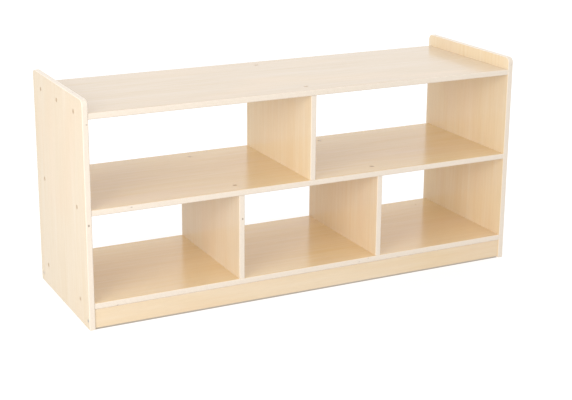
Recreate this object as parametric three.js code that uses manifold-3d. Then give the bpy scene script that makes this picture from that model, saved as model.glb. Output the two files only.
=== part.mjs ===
// A low, open-backed classroom shelf unit of birch plywood: two compartments over three.
// Millimetres, +Z up. The origin is on the floor, under the middle of the unit, and -Y is the front.

import * as THREE from 'three';
import { mergeVertices } from 'three/addons/utils/BufferGeometryUtils.js';
import Module from 'manifold-3d';

// Driving dimensions of the carcass
const overallWidth = 1200;
const panelDepth = 391;
const boardThickness = 15;
const bayHeight = 218; // clear height of each tier of compartments
const plinthHeight = 52; // floor to the underside of the bottom shelf
const galleryHeight = 32; // how far the end panels rise above the top board
const shelfFrontInset = 1; // shelf fronts behind the end panels' fronts
const shelfRearInset = 10; // shelf backs ahead of the end panels' backs
const dividerFrontInset = 1; // divider fronts behind the shelf fronts
const kickFrontInset = 2; // front kickboard behind the shelf fronts
const kickFloorGap = 3;
const upperCornerRadius = 14; // the end panels' rounded upper corners
const edgeRadius = 2.5; // the eased arris on every exposed board edge
const edgeRadiusLimit = 0.45; // the most of a board's thickness that an arris takes

// Connecting screws, which hold the shelves to the end panels and the dividers to the shelves
const screwLength = 50;
const screwShankRadius = 3.5;
const screwHeadRadius = 5;
const screwHeadHeight = 4;
const screwTipLength = 4;
const screwTipRadius = 1.5;
const socketRadius = 2.4; // the six-sided key socket, to its corners
const socketDepth = 2.8;

// Cover caps over the connecting screws
const capRadius = 5;
const capThickness = 1.6;

// Countersunk screws, which hold the kickboards to the end panels
const kickScrewLength = 45;
const kickScrewRadius = 2;
const kickScrewHeadRadius = 4;
const kickScrewTipLength = 5;

// Where the screws go
const rowInset = 65; // outer screws of each row, from the end panel's front and rear edges
const dividerScrewInset = 45; // from the shelves' front and rear edges
const kickScrewInset = 19; // above the kickboards' lower edges

// Clearances
const screwClearance = 0.3; // round every screw and cap, and under every head
const tipClearance = 1; // past the end of every screw

// Facets of the round shapes
const turnFacets = 12;
const arrisFacets = 3;
const cornerFacets = 6;

// Levels and depths worked out from the driving dimensions
const innerWidth = overallWidth - 2 * boardThickness;
const shelfDepth = panelDepth - shelfFrontInset - shelfRearInset;
const tierPitch = bayHeight + boardThickness;
const bottomShelfZ = plinthHeight; // undersides of the three lengthwise boards
const middleShelfZ = bottomShelfZ + tierPitch;
const topBoardZ = middleShelfZ + tierPitch;
const lowerBayZ = bottomShelfZ + boardThickness; // floors of the two tiers of compartments
const upperBayZ = middleShelfZ + boardThickness;
const panelHeight = topBoardZ + boardThickness + galleryHeight;
const panelFrontY = -panelDepth / 2;
const shelfFrontY = panelFrontY + shelfFrontInset;
const shelfRearY = shelfFrontY + shelfDepth;
const dividerFrontY = shelfFrontY + dividerFrontInset;
const frontKickY = shelfFrontY + kickFrontInset;
const rearKickY = shelfRearY - boardThickness;
const kickHeight = plinthHeight - kickFloorGap;
const lowerBayWidth = (innerWidth - 2 * boardThickness) / 3;
const lowerDividerX = (lowerBayWidth + boardThickness) / 2;
const arris = Math.min(edgeRadius, edgeRadiusLimit * boardThickness);

// Colours and finishes
const finishes = {
  birch: { color: 0xf0dec6, roughness: 0.42, metalness: 0 },
  cap: { color: 0xd9c8b0, roughness: 0.5, metalness: 0 },
  steel: { color: 0xb9bcc0, roughness: 0.35, metalness: 1 },
};

const wasm = await Module();
wasm.setup();

const unit = new THREE.Group();

// Solid modelling helpers

function solidOf(geometry) {
  const bare = geometry.clone();
  bare.deleteAttribute('normal');
  bare.deleteAttribute('uv');
  const merged = mergeVertices(bare, 1e-4);
  const vertProperties = new Float32Array(merged.attributes.position.array);
  const triVerts = new Uint32Array(merged.index.array);
  return new wasm.Manifold(new wasm.Mesh({ numProp: 3, vertProperties, triVerts }));
}

function geometryOf(solid) {
  const mesh = solid.getMesh();
  const geometry = new THREE.BufferGeometry();
  geometry.setAttribute('position', new THREE.BufferAttribute(mesh.vertProperties, 3));
  geometry.setIndex(new THREE.BufferAttribute(mesh.triVerts, 1));
  geometry.computeVertexNormals();
  return geometry;
}

function drilled(geometry, holes) {
  let solid = solidOf(geometry);
  for (const hole of holes) {
    solid = solid.subtract(solidOf(hole));
  }
  return geometryOf(solid);
}

function addPiece(name, geometry, finish) {
  const mesh = new THREE.Mesh(geometry, new THREE.MeshStandardMaterial(finish));
  mesh.name = name;
  unit.add(mesh);
  return mesh;
}

// A shape drawn in Y and Z and extruded along X
const alongX = new THREE.Matrix4().makeBasis(
  new THREE.Vector3(0, 1, 0),
  new THREE.Vector3(0, 0, 1),
  new THREE.Vector3(1, 0, 0),
);

function easedRectangle(width, height) {
  const outline = new THREE.Shape();
  outline.moveTo(arris, 0);
  outline.lineTo(width - arris, 0);
  outline.absarc(width - arris, arris, arris, -Math.PI / 2, 0);
  outline.lineTo(width, height - arris);
  outline.absarc(width - arris, height - arris, arris, 0, Math.PI / 2);
  outline.lineTo(arris, height);
  outline.absarc(arris, height - arris, arris, Math.PI / 2, Math.PI);
  outline.lineTo(0, arris);
  outline.absarc(arris, arris, arris, Math.PI, 1.5 * Math.PI);
  return outline;
}

// Boards

function endPanelBlank() {
  const corner = Math.max(upperCornerRadius, 2 * arris); // leaves room for the arris on the curve
  const outline = new THREE.Shape();
  outline.moveTo(0, 0);
  outline.lineTo(panelDepth, 0);
  outline.lineTo(panelDepth, panelHeight - corner);
  outline.absarc(panelDepth - corner, panelHeight - corner, corner, 0, Math.PI / 2);
  outline.lineTo(corner, panelHeight);
  outline.absarc(corner, panelHeight - corner, corner, Math.PI / 2, Math.PI);
  outline.lineTo(0, 0);
  const geometry = new THREE.ExtrudeGeometry(outline, {
    depth: boardThickness - 2 * arris,
    bevelThickness: arris,
    bevelSize: arris,
    bevelOffset: -arris,
    bevelSegments: arrisFacets,
    curveSegments: cornerFacets,
  });
  return geometry.translate(0, 0, arris).applyMatrix4(alongX);
}

function lengthwiseBoard(depth, height) {
  const geometry = new THREE.ExtrudeGeometry(easedRectangle(depth, height), {
    depth: innerWidth,
    bevelEnabled: false,
    curveSegments: arrisFacets,
  });
  return geometry.applyMatrix4(alongX).translate(-innerWidth / 2, 0, 0);
}

function dividerBlank() {
  const depth = shelfDepth - dividerFrontInset;
  const geometry = new THREE.ExtrudeGeometry(easedRectangle(boardThickness, depth), {
    depth: bayHeight,
    bevelEnabled: false,
    curveSegments: arrisFacets,
  });
  return geometry.translate(-boardThickness / 2, 0, 0);
}

const blanks = {
  left_end_panel: endPanelBlank().translate(-overallWidth / 2, panelFrontY, 0),
  right_end_panel: endPanelBlank().translate(overallWidth / 2 - boardThickness, panelFrontY, 0),
  top_board: lengthwiseBoard(shelfDepth, boardThickness).translate(0, shelfFrontY, topBoardZ),
  middle_shelf: lengthwiseBoard(shelfDepth, boardThickness).translate(0, shelfFrontY, middleShelfZ),
  bottom_shelf: lengthwiseBoard(shelfDepth, boardThickness).translate(0, shelfFrontY, bottomShelfZ),
  upper_divider: dividerBlank().translate(0, dividerFrontY, upperBayZ),
  lower_left_divider: dividerBlank().translate(-lowerDividerX, dividerFrontY, lowerBayZ),
  lower_right_divider: dividerBlank().translate(lowerDividerX, dividerFrontY, lowerBayZ),
  front_kickboard: lengthwiseBoard(boardThickness, kickHeight).translate(0, frontKickY, kickFloorGap),
  rear_kickboard: lengthwiseBoard(boardThickness, kickHeight).translate(0, rearKickY, kickFloorGap),
};

const holes = Object.fromEntries(Object.keys(blanks).map((name) => [name, []]));

// Fixings. Each profile is turned about its own axis: radius, then depth below the board's outer face.

const axis = new THREE.Vector3(0, 1, 0);

function turned(profile) {
  const points = profile.map(([radius, depth]) => new THREE.Vector2(radius, depth));
  return new THREE.LatheGeometry(points, turnFacets);
}

function driven(object, point, direction) {
  object.position.copy(point);
  object.quaternion.setFromUnitVectors(axis, direction);
  return object;
}

function drill(boards, profile, point, direction) {
  const place = driven(new THREE.Object3D(), point, direction);
  place.updateMatrix();
  for (const board of boards) {
    holes[board].push(turned(profile).applyMatrix4(place.matrix));
  }
}

const headTop = capThickness + screwClearance;
const headSeat = headTop + screwHeadHeight;
const screwEnd = headTop + screwLength;
const socketFloor = headTop + socketDepth;
const socketSides = 6;
const capStemRadius = socketRadius * Math.cos(Math.PI / socketSides) - screwClearance;

const screwProfile = [
  [0, headTop],
  [screwHeadRadius, headTop],
  [screwHeadRadius, headSeat],
  [screwShankRadius, headSeat],
  [screwShankRadius, screwEnd - screwTipLength],
  [screwTipRadius, screwEnd],
  [0, screwEnd],
];

const capProfile = [
  [0, 0],
  [capRadius, 0],
  [capRadius, capThickness],
  [capStemRadius, capThickness],
  [capStemRadius, socketFloor - screwClearance],
  [0, socketFloor - screwClearance],
];

// The hole starts outside the board, so that its mouth is cut clean
const mouth = -1;
const counterboreRadius = Math.max(capRadius, screwHeadRadius) + screwClearance;

const screwHoleProfile = [
  [0, mouth],
  [counterboreRadius, mouth],
  [counterboreRadius, headSeat + screwClearance],
  [screwShankRadius + screwClearance, headSeat + screwClearance],
  [screwShankRadius + screwClearance, screwEnd + tipClearance],
  [0, screwEnd + tipClearance],
];

function connectingScrewGeometry() {
  const height = socketFloor - mouth;
  const socket = new THREE.CylinderGeometry(socketRadius, socketRadius, height, socketSides);
  return drilled(turned(screwProfile), [socket.translate(0, socketFloor - height / 2, 0)]);
}

const connectingScrew = connectingScrewGeometry();

function addConnectingScrew(place, end, boards, point, direction, capped) {
  drill(boards, screwHoleProfile, point, direction);
  driven(addPiece(`${place}_screw_${end}`, connectingScrew, finishes.steel), point, direction);
  if (capped) {
    driven(addPiece(`${place}_cap_${end}`, turned(capProfile), finishes.cap), point, direction);
  }
}

const kickHeadHeight = kickScrewHeadRadius - kickScrewRadius;

const kickScrewProfile = [
  [0, screwClearance],
  [kickScrewHeadRadius, screwClearance],
  [kickScrewRadius, screwClearance + kickHeadHeight],
  [kickScrewRadius, kickScrewLength - kickScrewTipLength],
  [0, kickScrewLength],
];

const kickHoleRadius = kickScrewRadius + screwClearance;
const kickSinkRadius = kickScrewHeadRadius + screwClearance;

const kickHoleProfile = [
  [0, mouth],
  [kickSinkRadius, mouth],
  [kickSinkRadius, 2 * screwClearance],
  [kickHoleRadius, 2 * screwClearance + kickHeadHeight],
  [kickHoleRadius, kickScrewLength + tipClearance],
  [0, kickScrewLength + tipClearance],
];

// End panels: a row of screws into the end of each shelf, and one into each kickboard

const rowFrontY = panelFrontY + rowInset;
const rowRearY = -rowFrontY;
const pairOfScrews = { front: rowFrontY, rear: rowRearY };
const rowOfThree = { front: rowFrontY, middle: 0, rear: rowRearY };

const rows = [
  { row: 'top', board: 'top_board', z: topBoardZ + boardThickness / 2, places: rowOfThree },
  { row: 'middle', board: 'middle_shelf', z: middleShelfZ + boardThickness / 2, places: pairOfScrews },
  { row: 'bottom', board: 'bottom_shelf', z: bottomShelfZ + boardThickness / 2, places: pairOfScrews },
];

for (const [side, sign] of [['left', -1], ['right', 1]]) {
  const panel = `${side}_end_panel`;
  const faceX = (sign * overallWidth) / 2;
  const inward = new THREE.Vector3(-sign, 0, 0);
  for (const { row, board, z, places } of rows) {
    for (const [end, y] of Object.entries(places)) {
      const point = new THREE.Vector3(faceX, y, z);
      addConnectingScrew(`${side}_${row}`, end, [panel, board], point, inward, true);
    }
  }
  for (const [end, kickY] of [['front', frontKickY], ['rear', rearKickY]]) {
    const point = new THREE.Vector3(faceX, kickY + boardThickness / 2, kickFloorGap + kickScrewInset);
    drill([panel, `${end}_kickboard`], kickHoleProfile, point, inward);
    const screw = addPiece(`${side}_kick_screw_${end}`, turned(kickScrewProfile), finishes.steel);
    driven(screw, point, inward);
  }
}

// Dividers: a pair of capped screws from above, and a bare pair from below

const dividerScrews = { front: shelfFrontY + dividerScrewInset, rear: shelfRearY - dividerScrewInset };
const down = new THREE.Vector3(0, 0, -1);
const up = new THREE.Vector3(0, 0, 1);

const upperTier = { over: 'top_board', under: 'middle_shelf', floorZ: upperBayZ };
const lowerTier = { over: 'middle_shelf', under: 'bottom_shelf', floorZ: lowerBayZ };

const dividers = [
  { name: 'upper_divider', x: 0, tier: upperTier },
  { name: 'lower_left_divider', x: -lowerDividerX, tier: lowerTier },
  { name: 'lower_right_divider', x: lowerDividerX, tier: lowerTier },
];

for (const { name, x, tier } of dividers) {
  const { over, under, floorZ } = tier;
  for (const [end, y] of Object.entries(dividerScrews)) {
    const above = new THREE.Vector3(x, y, floorZ + tierPitch);
    const below = new THREE.Vector3(x, y, floorZ - boardThickness);
    addConnectingScrew(`${name}_head`, end, [over, name], above, down, true);
    addConnectingScrew(`${name}_foot`, end, [under, name], below, up, false);
  }
}

for (const [name, blank] of Object.entries(blanks)) {
  addPiece(name, drilled(blank, holes[name]), finishes.birch);
}

export default unit;
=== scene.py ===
# %% [markdown]
# # A birch plywood shelf unit, dressed for the studio
# The unit is a low, open-backed classroom shelf: two end panels, three lengthwise boards, three dividers and
# two kickboards, held by screws under small cover caps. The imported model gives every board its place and
# size. This lesson rebuilds the boards with eased edges and real ply edges, lacquers them, fits the caps and
# screws, and lights the whole thing like a catalogue picture.

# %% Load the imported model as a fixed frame
import math

import bmesh
import bpy
from mathutils import Matrix, Vector


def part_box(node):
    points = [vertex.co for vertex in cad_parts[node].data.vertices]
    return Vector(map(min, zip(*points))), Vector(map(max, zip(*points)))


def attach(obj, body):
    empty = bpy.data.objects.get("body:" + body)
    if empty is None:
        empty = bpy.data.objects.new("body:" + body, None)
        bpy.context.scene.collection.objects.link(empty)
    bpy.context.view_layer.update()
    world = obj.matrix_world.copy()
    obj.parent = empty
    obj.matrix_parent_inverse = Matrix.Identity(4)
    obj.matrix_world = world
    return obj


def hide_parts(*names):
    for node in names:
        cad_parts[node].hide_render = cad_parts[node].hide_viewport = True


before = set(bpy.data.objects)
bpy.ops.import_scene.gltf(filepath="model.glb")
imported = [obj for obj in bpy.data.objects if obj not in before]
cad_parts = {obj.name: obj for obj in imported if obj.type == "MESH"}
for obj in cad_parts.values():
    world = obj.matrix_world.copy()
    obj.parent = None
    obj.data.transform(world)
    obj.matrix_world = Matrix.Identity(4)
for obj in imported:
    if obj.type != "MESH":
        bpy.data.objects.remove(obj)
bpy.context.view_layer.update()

MM = 0.001

# %% [markdown]
# ## Camera
# The picture was taken from the front left and a little above, with a longish lens. A camera could be aimed
# by eye, but measured values are surer: where it stands, where it points, how far it leans and its field of
# view. The lens shift lowers the frame a little, as cropping a picture does.

# %% Set up the camera
PICTURE_WIDTH = 572  # pixels
FOCAL_LENGTH = 1306.9  # pixels
FRAME_DROP = 30  # pixels
SENSOR_WIDTH = 36.0  # millimetres
CAMERA_PLACE = Vector((-1491.0, -2985.6, 1243.7)) * MM
HEADING, DIP, LEAN = (math.radians(angle) for angle in (26.86, 16.18, 0.43))

camera_data = bpy.data.cameras.new("studio_camera")
camera_data.sensor_width = SENSOR_WIDTH
camera_data.lens = SENSOR_WIDTH * FOCAL_LENGTH / PICTURE_WIDTH
camera_data.shift_y = -FRAME_DROP / PICTURE_WIDTH
camera = bpy.data.objects.new("studio_camera", camera_data)
bpy.context.scene.collection.objects.link(camera)
camera.matrix_world = (
    Matrix.Translation(CAMERA_PLACE)
    @ Matrix.Rotation(-HEADING, 4, "Z")
    @ Matrix.Rotation(math.pi / 2 - DIP, 4, "X")
    @ Matrix.Rotation(LEAN, 4, "Z")
)
bpy.context.scene.camera = camera
print("camera: lens", round(camera_data.lens, 2), "mm")

# %% [markdown]
# ## Helpers for materials
# Colours are picked as sRGB hex values, as in a paint program, and shaders want linear light, so one function
# turns the one into the other. Another adds a node, sets it and links it, which keeps each material short.

# %% Colour and node helpers
MIX_A, MIX_B, MIX_COLOUR = 6, 7, 2  # a Mix node's colour sockets go by number, because its names repeat


def linear(hex_colour):
    """The linear colour of an sRGB hex value."""
    channels = [int(hex_colour[i:i + 2], 16) / 255 for i in (1, 3, 5)]
    return [c / 12.92 if c <= 0.04045 else ((c + 0.055) / 1.055) ** 2.4 for c in channels] + [1.0]


def add_node(tree, kind, inputs=None, **settings):
    """A new node with its settings; each input takes a value or the socket that feeds it."""
    made = tree.nodes.new(kind)
    for name, value in settings.items():
        setattr(made, name, value)
    for socket, value in (inputs or {}).items():
        if isinstance(value, bpy.types.NodeSocket):
            tree.links.new(value, made.inputs[socket])
        else:
            made.inputs[socket].default_value = value
    return made


def new_material(name):
    """An empty node material, with its tree and its surface shader."""
    material = bpy.data.materials.new(name)
    material.use_nodes = True
    tree = material.node_tree
    tree.nodes.clear()
    shader = add_node(tree, "ShaderNodeBsdfPrincipled")
    add_node(tree, "ShaderNodeOutputMaterial", {"Surface": shader.outputs["BSDF"]})
    return material, tree, shader


print("helpers: ready")

# %% [markdown]
# ## Birch veneer under clear lacquer
# The faces are rotary-cut birch veneer: pale, with soft streaks that run along the grain, a faint blush here
# and there, and short fibres. Each board's tone is partly its veneer sheet and partly painted light: greyer
# on the lit left panel, darker on the lit top, lighter on the shaded right panel. A picture of wood would
# repeat itself from board to board, so each streak is a noise that is stretched along the grain, with its
# length and width in millimetres. A blemish is listed with its place. The clear satin lacquer is the shader's
# coat: it mirrors the bright room at a low angle, so the shelves look lighter where they face the open back.

# %% Birch veneer
VENEER_BLUSH = "#EDD2B2"
FLECK_BROWN = "#B98F63"
SHEET_AND_LIGHT_TONES = {  # pale and warm streaks of each tone: part veneer sheet, part painted light
    "silvery": ("#EEDFCA", "#E5CFAC"),
    "cream": ("#F6E5C9", "#EDD4AA"),
    "straw": ("#F0DDC2", "#E8CCA2"),
    "honey": ("#F3DCB4", "#EACB96"),
    "tan": ("#E2D0BB", "#D9C1A0"),
}
# Each board's tone is partly its veneer sheet and partly painted light: greyer on the brightly lit left
# panel, darker on the lit top board, lighter on the shaded right panel.
BOARD_TONE_AND_LIGHT = {
    "left_end_panel": "silvery",
    "right_end_panel": "cream",
    "top_board": "tan",
    "middle_shelf": "honey",
    "bottom_shelf": "honey",
    "upper_divider": "cream",
    "lower_left_divider": "silvery",
    "lower_right_divider": "straw",
    "front_kickboard": "straw",
    "rear_kickboard": "straw",
}
VENEER_MARKS = {"bottom_shelf": [((524, 140, 67), (4, 3, 2), 0.5)]}
MARK_CORE = 0.4  # the share of a mark's size that has its full strength
UPRIGHT_GRAIN = (0, math.pi / 2, 0)  # turns Z, the grain of upright boards, onto X
FIGURE, BANDS, BLUSH = (600, 50), (180, 9), (420, 160)  # length and width of a streak in millimetres
FIBRES = (24, 1.1)  # real fibres are far finer; they are drawn this coarse so that they show
TONE_FROM, TONE_TO = 0.4, 1.6  # figure and bands together, from all pale to all warm
BLUSH_FROM, BLUSH_TO, BLUSH_SHARE = 0.52, 0.75, 0.5  # where a blush starts, where it is full, its strength
GRAIN_FROM, GRAIN_TO = 0.3, 0.7  # the part of a fine noise that is used
FIBRE_DARK, FIBRE_LIGHT = 0.975, 1.02  # times the wood's colour
FIBRE_RELIEF = 0.15 * MM


def streaks(tree, laid, span, detail):
    """Noise drawn out along the grain; span is the length and width of a streak in millimetres."""
    length, width = span
    size = (1 / (length * MM), 1 / (width * MM), 1 / (width * MM))
    stretched = add_node(tree, "ShaderNodeMapping", {"Vector": laid, "Scale": size})
    return add_node(tree, "ShaderNodeTexNoise", {
        "Vector": stretched.outputs["Vector"],
        "Scale": 1.0,
        "Detail": detail,
        "Roughness": 0.5,
        "Distortion": 0.5,
    }).outputs["Fac"]


def marked(tree, wood, place, marks, colour):
    """Adds small soft marks; each has its middle and half sizes in millimetres, and its strength."""
    for middle, half, strength in marks:
        shrink = Vector([1 / (h * MM) for h in half])
        around = add_node(tree, "ShaderNodeMapping", {
            "Vector": place, "Location": -Vector(middle) * MM * shrink, "Scale": shrink,
        }).outputs["Vector"]
        away = add_node(tree, "ShaderNodeVectorMath", {0: around}, operation="LENGTH").outputs["Value"]
        share = add_node(tree, "ShaderNodeMapRange", {
            "Value": away, "From Min": MARK_CORE, "From Max": 1.0, "To Min": strength, "To Max": 0.0,
        }).outputs["Result"]
        wood = add_node(tree, "ShaderNodeMix", {
            0: share, MIX_A: wood, MIX_B: linear(colour),
        }, data_type="RGBA").outputs[MIX_COLOUR]
    return wood


def birch_veneer(board, upright, cut):
    """Lacquered veneer for one board; cut says where in the veneer its pattern starts."""
    # Peeled birch under satin lacquer is warm and soft seen straight on, and a blurred mirror at a low angle.
    material, tree, shader = new_material(f"birch_veneer_satin_lacquer_{board}")
    place = add_node(tree, "ShaderNodeTexCoord").outputs["Object"]
    laid = add_node(tree, "ShaderNodeMapping", {
        "Vector": place,
        "Rotation": UPRIGHT_GRAIN if upright else (0, 0, 0),
        "Location": (cut, cut / 3, cut / 7),
    }).outputs["Vector"]

    figure = streaks(tree, laid, FIGURE, 2.0)
    bands = streaks(tree, laid, BANDS, 2.0)
    fibres = streaks(tree, laid, FIBRES, 2.0)
    blush = streaks(tree, laid, BLUSH, 1.0)

    # the board's tone: partly its veneer sheet, partly painted light
    pale, warm = SHEET_AND_LIGHT_TONES[BOARD_TONE_AND_LIGHT[board]]
    tone = add_node(tree, "ShaderNodeMath", {0: figure, 1: bands}, operation="ADD").outputs[0]
    tone = add_node(tree, "ShaderNodeMapRange", {
        "Value": tone, "From Min": TONE_FROM, "From Max": TONE_TO,
    }).outputs["Result"]
    wood = add_node(tree, "ShaderNodeMix", {
        0: tone, MIX_A: linear(pale), MIX_B: linear(warm),
    }, data_type="RGBA").outputs[MIX_COLOUR]
    blushed = add_node(tree, "ShaderNodeMapRange", {
        "Value": blush, "From Min": BLUSH_FROM, "From Max": BLUSH_TO, "To Min": 0.0, "To Max": BLUSH_SHARE,
    }).outputs["Result"]
    wood = add_node(tree, "ShaderNodeMix", {
        0: blushed, MIX_A: wood, MIX_B: linear(VENEER_BLUSH),
    }, data_type="RGBA").outputs[MIX_COLOUR]
    fine = add_node(tree, "ShaderNodeMapRange", {
        "Value": fibres,
        "From Min": GRAIN_FROM,
        "From Max": GRAIN_TO,
        "To Min": FIBRE_DARK,
        "To Max": FIBRE_LIGHT,
    }).outputs["Result"]
    wood = add_node(tree, "ShaderNodeVectorMath", {0: wood, "Scale": fine}, operation="SCALE").outputs[0]
    wood = marked(tree, wood, place, VENEER_MARKS.get(board, []), FLECK_BROWN)
    raised = add_node(tree, "ShaderNodeBump", {
        "Height": fibres, "Strength": 0.12, "Distance": FIBRE_RELIEF,
    }).outputs["Normal"]

    for socket, value in {"Base Color": wood, "Normal": raised}.items():
        tree.links.new(value, shader.inputs[socket])
    shader.inputs["Roughness"].default_value = 0.55
    shader.inputs["Specular IOR Level"].default_value = 0.0
    shader.inputs["Coat Weight"].default_value = 1.0
    shader.inputs["Coat Roughness"].default_value = 0.2
    shader.inputs["Coat IOR"].default_value = 1.6
    return material


print("veneer:", len(SHEET_AND_LIGHT_TONES), "sheets, streaks from", FIBRES[1], "to", BLUSH[1], "mm wide")

# %% [markdown]
# ## Plywood edges
# Along every edge the plies show as fine stripes: eleven sheets, turned by a quarter against each other, so
# that long grain and end grain take turns. Modelling each ply would take many thin strips, and a stripe in
# the material looks the same. It follows the depth through the board, which Object coordinates give once a
# Mapping node has put zero at the board's middle. The sanded edges are paler than the faces here, so they
# read as light frames round each compartment. A few inner plies have small open knots, and where one meets
# the edge it leaves a brown pit a few millimetres long.

# %% Plywood edges
PLY_PALE, PLY_DARK, GLUE_LINE = "#F5EADD", "#EADAC5", "#D1BB9D"
PLIES = 11
PLY_BLEND = 0.3  # how softly one ply goes over into the next
SEAM_REACH, SEAM_SHARE = 0.22, 0.35  # half the width of a glue line on the wave, and its strength
EDGE_GRAIN, EDGE_RELIEF = 3 * MM, 0.1 * MM
EDGE_DARK, EDGE_LIGHT = 0.96, 1.02  # times the wood's colour
PIT_BROWN = "#846A50"
PITS = {
    "left_end_panel": [
        ((-593, -195, 264), (3, 8, 4), 0.8), ((-590, -195, 507), (2.5, 8, 3), 0.4),
        ((-592, -109, 565), (2, 4, 8), 0.5),
    ],
    "right_end_panel": [((595, -195, 545), (2, 8, 3), 0.25)],
    "top_board": [((37, -190, 524), (4, 8, 1.5), 0.25)],
    "middle_shelf": [((-486, -190, 295), (5, 8, 2), 0.8)],
    "bottom_shelf": [
        ((-528, -190, 54), (5, 8, 2), 0.8), ((140, -190, 58), (3.5, 8, 1.5), 0.6),
        ((167, -190, 64), (3.5, 8, 1.5), 0.6),
    ],
    "lower_left_divider": [((-196, -190, 224), (2.8, 8, 4), 1.0)],
}


def birch_edge(board, middle, thickness, across):
    """Sanded and lacquered plies; across is the axis through the board's thickness."""
    # Sanded end grain drinks the lacquer, so the edge is pale and finely striped, with a duller sheen.
    material, tree, shader = new_material(f"birch_ply_edge_lacquered_{board}")
    place = add_node(tree, "ShaderNodeTexCoord").outputs["Object"]
    centred = add_node(tree, "ShaderNodeMapping", {"Vector": place, "Location": -middle}).outputs["Vector"]
    depth = add_node(tree, "ShaderNodeSeparateXYZ", {"Vector": centred}).outputs[across]

    turn = add_node(tree, "ShaderNodeMath", {0: depth, 1: math.pi * PLIES / thickness}, operation="MULTIPLY")
    wave = add_node(tree, "ShaderNodeMath", {0: turn.outputs[0]}, operation="COSINE").outputs[0]
    cross_ply = add_node(tree, "ShaderNodeMapRange", {
        "Value": wave, "From Min": -PLY_BLEND, "From Max": PLY_BLEND,
    }, interpolation_type="SMOOTHSTEP").outputs["Result"]
    seam = add_node(tree, "ShaderNodeMath", {0: wave}, operation="ABSOLUTE").outputs[0]
    seam = add_node(tree, "ShaderNodeMapRange", {
        "Value": seam, "From Min": 0.0, "From Max": SEAM_REACH, "To Min": SEAM_SHARE, "To Max": 0.0,
    }).outputs["Result"]
    grain = add_node(tree, "ShaderNodeTexNoise", {
        "Vector": centred, "Scale": 1 / EDGE_GRAIN, "Detail": 3.0, "Roughness": 0.6,
    }).outputs["Fac"]

    wood = add_node(tree, "ShaderNodeMix", {
        0: cross_ply, MIX_A: linear(PLY_PALE), MIX_B: linear(PLY_DARK),
    }, data_type="RGBA").outputs[MIX_COLOUR]
    wood = add_node(tree, "ShaderNodeMix", {
        0: seam, MIX_A: wood, MIX_B: linear(GLUE_LINE),
    }, data_type="RGBA").outputs[MIX_COLOUR]
    fine = add_node(tree, "ShaderNodeMapRange", {
        "Value": grain,
        "From Min": GRAIN_FROM,
        "From Max": GRAIN_TO,
        "To Min": EDGE_DARK,
        "To Max": EDGE_LIGHT,
    }).outputs["Result"]
    wood = add_node(tree, "ShaderNodeVectorMath", {0: wood, "Scale": fine}, operation="SCALE").outputs[0]
    wood = marked(tree, wood, place, PITS.get(board, []), PIT_BROWN)
    raised = add_node(tree, "ShaderNodeBump", {
        "Height": grain, "Strength": 0.1, "Distance": EDGE_RELIEF,
    }).outputs["Normal"]

    for socket, value in {"Base Color": wood, "Normal": raised}.items():
        tree.links.new(value, shader.inputs[socket])
    shader.inputs["Roughness"].default_value = 0.5
    shader.inputs["Coat Weight"].default_value = 0.5
    shader.inputs["Coat Roughness"].default_value = 0.3
    shader.inputs["Coat IOR"].default_value = 1.48
    return material


print("edges:", PLIES, "plies")

# %% [markdown]
# ## Blanks for the boards
# A board is a cube that is scaled to the size the frame gives, with the edges that a child can touch eased by
# a bevel. The shelves and dividers are eased along their length only, because their ends butt against another
# board. An end panel first gets its rounded upper corners, and then an eased outline on both faces.

# %% Board blanks
ARRIS, ARRIS_STEPS = 2.5 * MM, 5
PANEL_CORNER, PANEL_CORNER_STEPS = 14 * MM, 10
SNUG = 0.01 * MM  # nearer than this counts as touching
ALONG = 0.999  # the least cosine between an axis and an edge that runs along it


def ease(bm, edges, radius, steps):
    """Rounds edges over."""
    bmesh.ops.bevel(bm, geom=edges, offset=radius, segments=steps, profile=0.5, affect="EDGES", material=-1)


def edges_along(bm, axis):
    """The edges that run along one axis."""
    return [e for e in bm.edges if abs((e.verts[1].co - e.verts[0].co).normalized()[axis]) > ALONG]


def blank(low, high):
    """A square-edged board between two corners."""
    bm = bmesh.new()
    bmesh.ops.create_cube(bm, size=1)
    bmesh.ops.scale(bm, vec=high - low, verts=bm.verts)
    bmesh.ops.translate(bm, vec=(low + high) / 2, verts=bm.verts)
    return bm


def end_panel_blank(low, high):
    """A panel with rounded upper corners and an eased outline."""
    bm = blank(low, high)
    upper = [e for e in edges_along(bm, 0) if all(v.co.z > high.z - SNUG for v in e.verts)]
    ease(bm, upper, PANEL_CORNER, PANEL_CORNER_STEPS)
    outline = [e for e in bm.edges if abs(e.verts[0].co.x - e.verts[1].co.x) < SNUG]
    ease(bm, outline, ARRIS, ARRIS_STEPS)
    return bm


def eased_blank(low, high, length_axis):
    """A board that is eased along its length."""
    bm = blank(low, high)
    ease(bm, edges_along(bm, length_axis), ARRIS, ARRIS_STEPS)
    return bm


print("blanks: arris", round(ARRIS / MM, 1), "mm")

# %% [markdown]
# ## Turned shapes
# Screws, caps and the holes they sit in are all round. They could be built up from cylinders and cones, but a
# short profile that is spun about its axis makes each in one go. Depth runs from the mouth of the hole into
# the wood. The frame gives each fixing's place through its box, and the side it is driven from follows from
# its name.

# %% Turned shapes and where the fixings go
TURN_STEPS = 48
CLEARANCE = 0.3 * MM
MOUTH = 3 * MM  # how far a drill starts outside the wood
WELD = SNUG / 10  # points nearer than this become one


def turned(profile):
    """A closed shape spun about Z from (radius, depth) points in metres."""
    bm = bmesh.new()
    points = [bm.verts.new((radius, 0, depth)) for radius, depth in profile]
    lines = [bm.edges.new(pair) for pair in zip(points, points[1:])]
    bmesh.ops.spin(bm, geom=points + lines, cent=(0, 0, 0), axis=(0, 0, 1), angle=2 * math.pi,
                   steps=TURN_STEPS, use_merge=True, use_duplicate=False)
    bmesh.ops.remove_doubles(bm, verts=bm.verts, dist=WELD)
    bmesh.ops.recalc_face_normals(bm, faces=bm.faces)
    return bm


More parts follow.
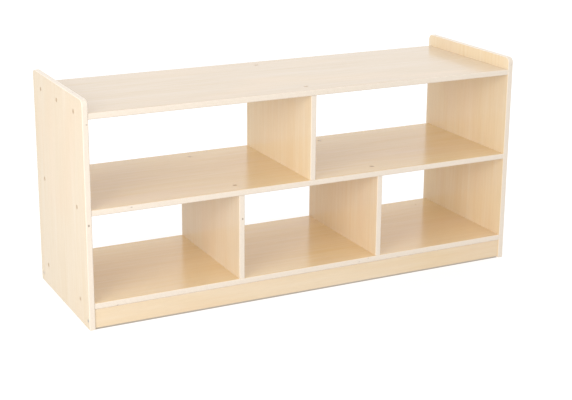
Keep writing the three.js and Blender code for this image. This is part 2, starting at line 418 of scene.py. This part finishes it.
def driven_from(node):
    """The direction that a fixing is driven in."""
    if "divider" in node:
        return Vector((0, 0, -1)) if "_head_" in node else Vector((0, 0, 1))
    return Vector((1, 0, 0)) if node.startswith("left") else Vector((-1, 0, 0))


def seat(node):
    """Where a fixing's outer end is, as a matrix whose Z goes into the wood, with its radius and length."""
    low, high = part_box(node)
    inward = driven_from(node)
    middle, size = (low + high) / 2, high - low
    length = abs(size.dot(inward))
    radius = (sum(size) - length) / 4  # half the mean of the two widths
    outer = middle - inward * length / 2
    return Matrix.Translation(outer) @ inward.to_track_quat("Z", "Y").to_matrix().to_4x4(), radius, length


screw_nodes = sorted(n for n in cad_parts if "_screw_" in n)
cap_nodes = sorted(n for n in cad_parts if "_cap_" in n)
board_nodes = sorted(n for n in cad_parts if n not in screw_nodes and n not in cap_nodes)
print("fixings:", len(screw_nodes), "screws,", len(cap_nodes), "caps,", len(board_nodes), "boards")

# %% [markdown]
# ## Drilling
# Every screw goes through one board into the next, so both get its hole: a counterbore for the head and its
# cap, and a clear hole for the shank. Cutting round holes into a flat face by hand is fiddly, and a Boolean
# modifier does it cleanly. It is applied at once, and the cutter is thrown away.

# %% Drilling the boards
SHANK_SHARE = 0.7  # the connecting screw's shank against its head
HEAD_HEIGHT = 4 * MM
KICK_SHANK_SHARE = 0.5
TIP_ROOM = 1 * MM  # free length past a screw's tip


def drill_profile(node, radius, length):
    """The hole for one screw, from outside the wood to past its tip."""
    wide = radius + CLEARANCE
    end = length + TIP_ROOM
    if "_kick_" in node:
        narrow = radius * KICK_SHANK_SHARE + CLEARANCE
        slope = radius * (1 - KICK_SHANK_SHARE)
        head = [(0, -MOUTH), (wide, -MOUTH), (wide, CLEARANCE), (narrow, CLEARANCE + slope)]
        return head + [(narrow, end), (0, end)]
    narrow = radius * SHANK_SHARE + CLEARANCE
    step = HEAD_HEIGHT + CLEARANCE
    return [(0, -MOUTH), (wide, -MOUTH), (wide, step), (narrow, step), (narrow, end), (0, end)]


def overlaps(first, second):
    """True if two boxes share space."""
    return all(first[0][i] < second[1][i] - SNUG and second[0][i] < first[1][i] - SNUG for i in range(3))


def mesh_object(bm, name, *materials):
    """A new object that holds a finished bmesh."""
    mesh = bpy.data.meshes.new(name)
    bm.to_mesh(mesh)
    bm.free()
    for material in materials:
        mesh.materials.append(material)
    made = bpy.data.objects.new(name, mesh)
    bpy.context.scene.collection.objects.link(made)
    return made


def joined(bmeshes):
    """One bmesh that holds several."""
    whole = bmesh.new()
    for bm in bmeshes:
        part = bpy.data.meshes.new("part")
        bm.to_mesh(part)
        bm.free()
        whole.from_mesh(part)
        bpy.data.meshes.remove(part)
    return whole


def drills_for(board):
    """The drills of all the screws that pass through a board."""
    drills = []
    for node in screw_nodes:
        if overlaps(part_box(node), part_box(board)):
            place, radius, length = seat(node)
            drill = turned(drill_profile(node, radius, length))
            bmesh.ops.transform(drill, matrix=place, verts=drill.verts)
            drills.append(drill)
    return drills


def cut_away(piece, cutter):
    """Cuts one object out of another, for good."""
    cut = piece.modifiers.new("cut", "BOOLEAN")
    cut.operation, cut.solver, cut.object = "DIFFERENCE", "EXACT", cutter
    bpy.context.view_layer.update()
    whole = piece.data
    piece.data = bpy.data.meshes.new_from_object(piece.evaluated_get(bpy.context.evaluated_depsgraph_get()))
    piece.modifiers.clear()
    bpy.data.meshes.remove(whole)
    bpy.data.objects.remove(cutter)


print("drilling: clearance", round(CLEARANCE / MM, 2), "mm")

# %% [markdown]
# ## The ten boards
# Now each blank is made, gets veneer on its faces and plies round its edges, is drilled, and takes the place
# of its node. Smooth shading would bend the light near the rounded edges, so a Weighted Normal modifier
# lets the large flat faces decide.

# %% Boards
FACE_LEAN = math.cos(math.radians(30))  # a rounded strip that leans less than this still shows veneer
SHARP_FROM = math.radians(35)
CUT_STEP = 1.7  # metres along the veneer from one board to the next


def make_board(node, cut):
    """Rebuilds one board of the frame."""
    low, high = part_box(node)
    size = high - low
    across = min(range(3), key=lambda axis: size[axis])
    upright = across == 0
    if node.endswith("_end_panel"):
        bm = end_panel_blank(low, high)
    else:
        bm = eased_blank(low, high, 2 if upright else 0)
    for face in bm.faces:
        face.material_index = 0 if abs(face.normal[across]) > FACE_LEAN else 1
    faces = birch_veneer(node, upright, cut)
    edges = birch_edge(node, (low + high) / 2, size[across], across)
    board = mesh_object(bm, f"{node}_lacquered", faces, edges)
    cut_away(board, mesh_object(joined(drills_for(node)), "drills"))
    board.data.shade_smooth()
    board.data.set_sharp_from_angle(angle=SHARP_FROM)
    board.modifiers.new("flat_faces", "WEIGHTED_NORMAL").keep_sharp = True
    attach(board, "root")
    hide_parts(node)
    return board


boards = [make_board(node, CUT_STEP * index) for index, node in enumerate(board_nodes)]
print("boards:", len(boards), "with", sum(len(b.data.polygons) for b in boards), "faces")

# %% [markdown]
# ## Cover caps
# The caps are moulded in a maple colour, a little darker than the birch, with a satin skin. Each is a thin
# disc with a soft rim, and a short stem that plugs into the screw's socket. A flat disc would do for the eye,
# but the turned profile gives the rim and the stem at no extra cost.

# %% Cover caps
CAP_THICKNESS, CAP_RIM = 1.6 * MM, 0.4 * MM
RIM_TURN = 0.3  # where the rim's rounding has its middle point, as a share of the rim
STEM_SHARE = 0.35
MOTTLE = 1.5 * MM
GRIT, GRIT_RELIEF = 0.3 * MM, 0.05 * MM  # coarser than a real mould's grain, so that it can show
CAP_MAPLE, CAP_MAPLE_DARK = "#C2A682", "#B69974"


def moulded_maple_cap():
    """Satin moulded plastic with a faint spark-eroded texture."""
    # The mould's fine grain breaks the light up into a soft, even sheen.
    material, tree, shader = new_material("moulded_maple_plastic")
    place = add_node(tree, "ShaderNodeTexCoord").outputs["Object"]
    mottle = add_node(tree, "ShaderNodeTexNoise", {"Vector": place, "Scale": 1 / MOTTLE, "Detail": 2.0})
    colour = add_node(tree, "ShaderNodeMix", {
        0: mottle.outputs["Fac"], MIX_A: linear(CAP_MAPLE), MIX_B: linear(CAP_MAPLE_DARK),
    }, data_type="RGBA").outputs[MIX_COLOUR]
    grit = add_node(tree, "ShaderNodeTexNoise", {"Vector": place, "Scale": 1 / GRIT, "Detail": 1.0})
    raised = add_node(tree, "ShaderNodeBump", {
        "Height": grit.outputs["Fac"], "Strength": 0.2, "Distance": GRIT_RELIEF,
    }).outputs["Normal"]
    tree.links.new(colour, shader.inputs["Base Color"])
    tree.links.new(raised, shader.inputs["Normal"])
    shader.inputs["Roughness"].default_value = 0.3
    return material


def make_cap(node, material):
    """A cap with a soft rim and its stem."""
    place, radius, length = seat(node)
    stem = radius * STEM_SHARE
    cap = turned([
        (0, 0), (radius - CAP_RIM, 0), (radius - CAP_RIM * RIM_TURN, CAP_RIM * RIM_TURN),
        (radius, CAP_RIM), (radius, CAP_THICKNESS), (stem, CAP_THICKNESS), (stem, length), (0, length),
    ])
    bmesh.ops.transform(cap, matrix=place, verts=cap.verts)
    piece = mesh_object(cap, f"{node}_moulded", material)
    piece.data.shade_smooth()
    piece.data.set_sharp_from_angle(angle=SHARP_FROM)
    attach(piece, "root")
    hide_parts(node)
    return piece


cap_plastic = moulded_maple_cap()
caps = [make_cap(node, cap_plastic) for node in cap_nodes]
print("caps:", len(caps))

# %% [markdown]
# ## Screws
# Zinc plating is a soft, slightly blue metal with a fine cloudy grain from the bath. Most screws keep the
# frame's own shape, because a cap covers them or they sit under a shelf. The four kickboard screws show their
# flat heads, so these are made again with a cross recess. It could be drawn into the head's mesh face by
# face, but cutting two thin crossed blocks out of the turned head is simpler.

# %% Screws
ZINC_LIGHT, ZINC_DARK = "#DADBDD", "#C2C4C8"
RECESS_SHARE, RECESS_WIDTH, RECESS_DEPTH = 0.55, 1.0 * MM, 1.6 * MM
HEAD_LAND, TIP_LENGTH = 0.2 * MM, 5 * MM
CLOUD = 2 * MM


def zinc_plated_steel():
    """Bright zinc on steel."""
    # Plating from a bath gives a cool, slightly cloudy sheen, without the lines of brushed metal.
    material, tree, shader = new_material("zinc_plated_steel")
    place = add_node(tree, "ShaderNodeTexCoord").outputs["Object"]
    cloud = add_node(tree, "ShaderNodeTexNoise", {"Vector": place, "Scale": 1 / CLOUD, "Detail": 3.0})
    colour = add_node(tree, "ShaderNodeMix", {
        0: cloud.outputs["Fac"], MIX_A: linear(ZINC_LIGHT), MIX_B: linear(ZINC_DARK),
    }, data_type="RGBA").outputs[MIX_COLOUR]
    tree.links.new(colour, shader.inputs["Base Color"])
    shader.inputs["Metallic"].default_value = 1.0
    shader.inputs["Roughness"].default_value = 0.45
    return material


def make_kick_screw(node, material):
    """A countersunk screw with a cross recess."""
    place, radius, length = seat(node)
    shank = radius * KICK_SHANK_SHARE
    screw = turned([
        (0, 0), (radius, 0), (radius, HEAD_LAND), (shank, HEAD_LAND + radius - shank),
        (shank, length - TIP_LENGTH), (0, length),
    ])
    bmesh.ops.transform(screw, matrix=place, verts=screw.verts)
    piece = mesh_object(screw, f"{node}_plated", material)
    reach, half = radius * RECESS_SHARE, RECESS_WIDTH / 2
    for x, y in ((reach, half), (half, reach)):
        slot = blank(Vector((-x, -y, -MOUTH)), Vector((x, y, RECESS_DEPTH)))
        bmesh.ops.transform(slot, matrix=place, verts=slot.verts)
        cut_away(piece, mesh_object(slot, "slot"))
    piece.data.shade_smooth()
    piece.data.set_sharp_from_angle(angle=SHARP_FROM)
    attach(piece, "root")
    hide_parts(node)
    return piece


zinc = zinc_plated_steel()
kick_screw_nodes = [node for node in screw_nodes if "_kick_" in node]
kick_screws = [make_kick_screw(node, zinc) for node in kick_screw_nodes]
for node in screw_nodes:
    if node not in kick_screw_nodes:
        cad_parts[node].data.materials.clear()
        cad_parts[node].data.materials.append(zinc)
recessed_faces = sum(len(screw.data.polygons) for screw in kick_screws)
print("screws:", len(screw_nodes), "of which", len(kick_screws), "recessed, with", recessed_faces, "faces")

# %% [markdown]
# ## Studio
# Catalogue pictures are lit by a white room. One large softbox at the front left, low down, draws the soft
# shade behind the left wall of each compartment. The wall behind the unit is lit brighter than the rest of
# the room, and the lacquer mirrors it at a low angle, so the shelves look lighter where they face the open
# back. The paper under the object is burnt out to plain white. One very bright sheet could do that, but it
# would wash the colour out of the lower boards, so two sheets share the work. The upper one is what the
# camera sees: it glows, so hardly any shade is left on it. The lower one is what the wood sees, and is
# duller. A third, small sheet in the dark between the kickboards is painted shade, with a warm tint that
# stands in for light bounced off the wood: it glows less than the paper, and shows as a thin warm line of
# shade under the front one.

# %% Floor, room and lights
FLOOR_SIZE = 60.0  # metres
PAPER_SHADE, PAPER_GLOW = 0.5, 0.6
BOUNCE_SHADE, BOUNCE_GLOW = 0.3, 0.4
SHADED_GLOW, SHADED_TINT = 0.28, "#F2DCC3"
SHEET_GAP, SHADE_LIFT = 2 * MM, 0.2 * MM
ROOM_STRENGTH = 0.96
WALL_STRENGTH, WALL_TOWARDS = 1.14, Vector((0.45, 0.87, 0.2))
WALL_EDGE, WALL_CORE = 0.7, 0.92  # cosines of the angle from its middle, where it fades out and is full
LIGHT_AIM, LIGHT_DISTANCE = Vector((0, 0, 0.28)), 3.1  # metres, aimed at the middle of the unit
SOFTBOX_FROM, SOFTBOX_SIZE, SOFTBOX_POWER = Vector((-0.78, -0.54, 0.22)), 1.4, 37.0


def sheet(name, low, high, shade, glow, tint="#FFFFFF"):
    """A level sheet of paper between two corners, which also glows."""
    bm = bmesh.new()
    bmesh.ops.create_grid(bm, x_segments=1, y_segments=1, size=0.5)
    bmesh.ops.scale(bm, vec=high - low, verts=bm.verts)
    bmesh.ops.translate(bm, vec=(low + high) / 2, verts=bm.verts)
    paper, _, shader = new_material(f"{name}_paper")
    shader.inputs["Base Color"].default_value = (shade, shade, shade, 1)
    shader.inputs["Roughness"].default_value = 0.9
    shader.inputs["Emission Color"].default_value = linear(tint)
    shader.inputs["Emission Strength"].default_value = glow
    made = mesh_object(bm, name, paper)
    return made


reach = Vector((FLOOR_SIZE / 2, FLOOR_SIZE / 2, 0))
sunk = Vector((0, 0, -SHEET_GAP))
floor = sheet("studio_floor", -reach, reach, PAPER_SHADE, PAPER_GLOW)
bounce = sheet("bounce_floor", sunk - reach, sunk + reach, BOUNCE_SHADE, BOUNCE_GLOW)
front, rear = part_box("front_kickboard")[0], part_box("rear_kickboard")[1]
front.z = rear.z = SHADE_LIFT
# Painted shade: a camera-only sheet with a dim glow, warm to stand in for light bounced off the wood.
shaded = sheet("shaded_floor", front, rear, BOUNCE_SHADE, SHADED_GLOW, SHADED_TINT)
for seen in (floor, shaded):
    seen.visible_diffuse = seen.visible_glossy = seen.visible_shadow = False
bounce.visible_camera = False

room = bpy.data.worlds.new("white_room")
room.use_nodes = True
tree = room.node_tree
around = add_node(tree, "ShaderNodeTexCoord").outputs["Generated"]
facing = add_node(tree, "ShaderNodeVectorMath", {
    0: around, 1: WALL_TOWARDS.normalized(),
}, operation="DOT_PRODUCT").outputs["Value"]
strength = add_node(tree, "ShaderNodeMapRange", {
    "Value": facing,
    "From Min": WALL_EDGE,
    "From Max": WALL_CORE,
    "To Min": ROOM_STRENGTH,
    "To Max": WALL_STRENGTH,
}).outputs["Result"]
tree.nodes["Background"].inputs["Color"].default_value = (1, 1, 1, 1)
tree.links.new(strength, tree.nodes["Background"].inputs["Strength"])
bpy.context.scene.world = room


def area_light(name, direction, size, power):
    """A square light that faces the unit and stays out of the picture."""
    data = bpy.data.lights.new(name, "AREA")
    data.size, data.energy = size, power
    light = bpy.data.objects.new(name, data)
    bpy.context.scene.collection.objects.link(light)
    light.location = LIGHT_AIM + direction.normalized() * LIGHT_DISTANCE
    light.rotation_euler = direction.to_track_quat("Z", "Y").to_euler()
    light.visible_camera = False
    return light


softbox = area_light("softbox", SOFTBOX_FROM, SOFTBOX_SIZE, SOFTBOX_POWER)
bpy.context.scene.view_settings.view_transform = "Standard"
print("studio:", softbox.name, SOFTBOX_POWER, "W, room", ROOM_STRENGTH, "and wall", WALL_STRENGTH)
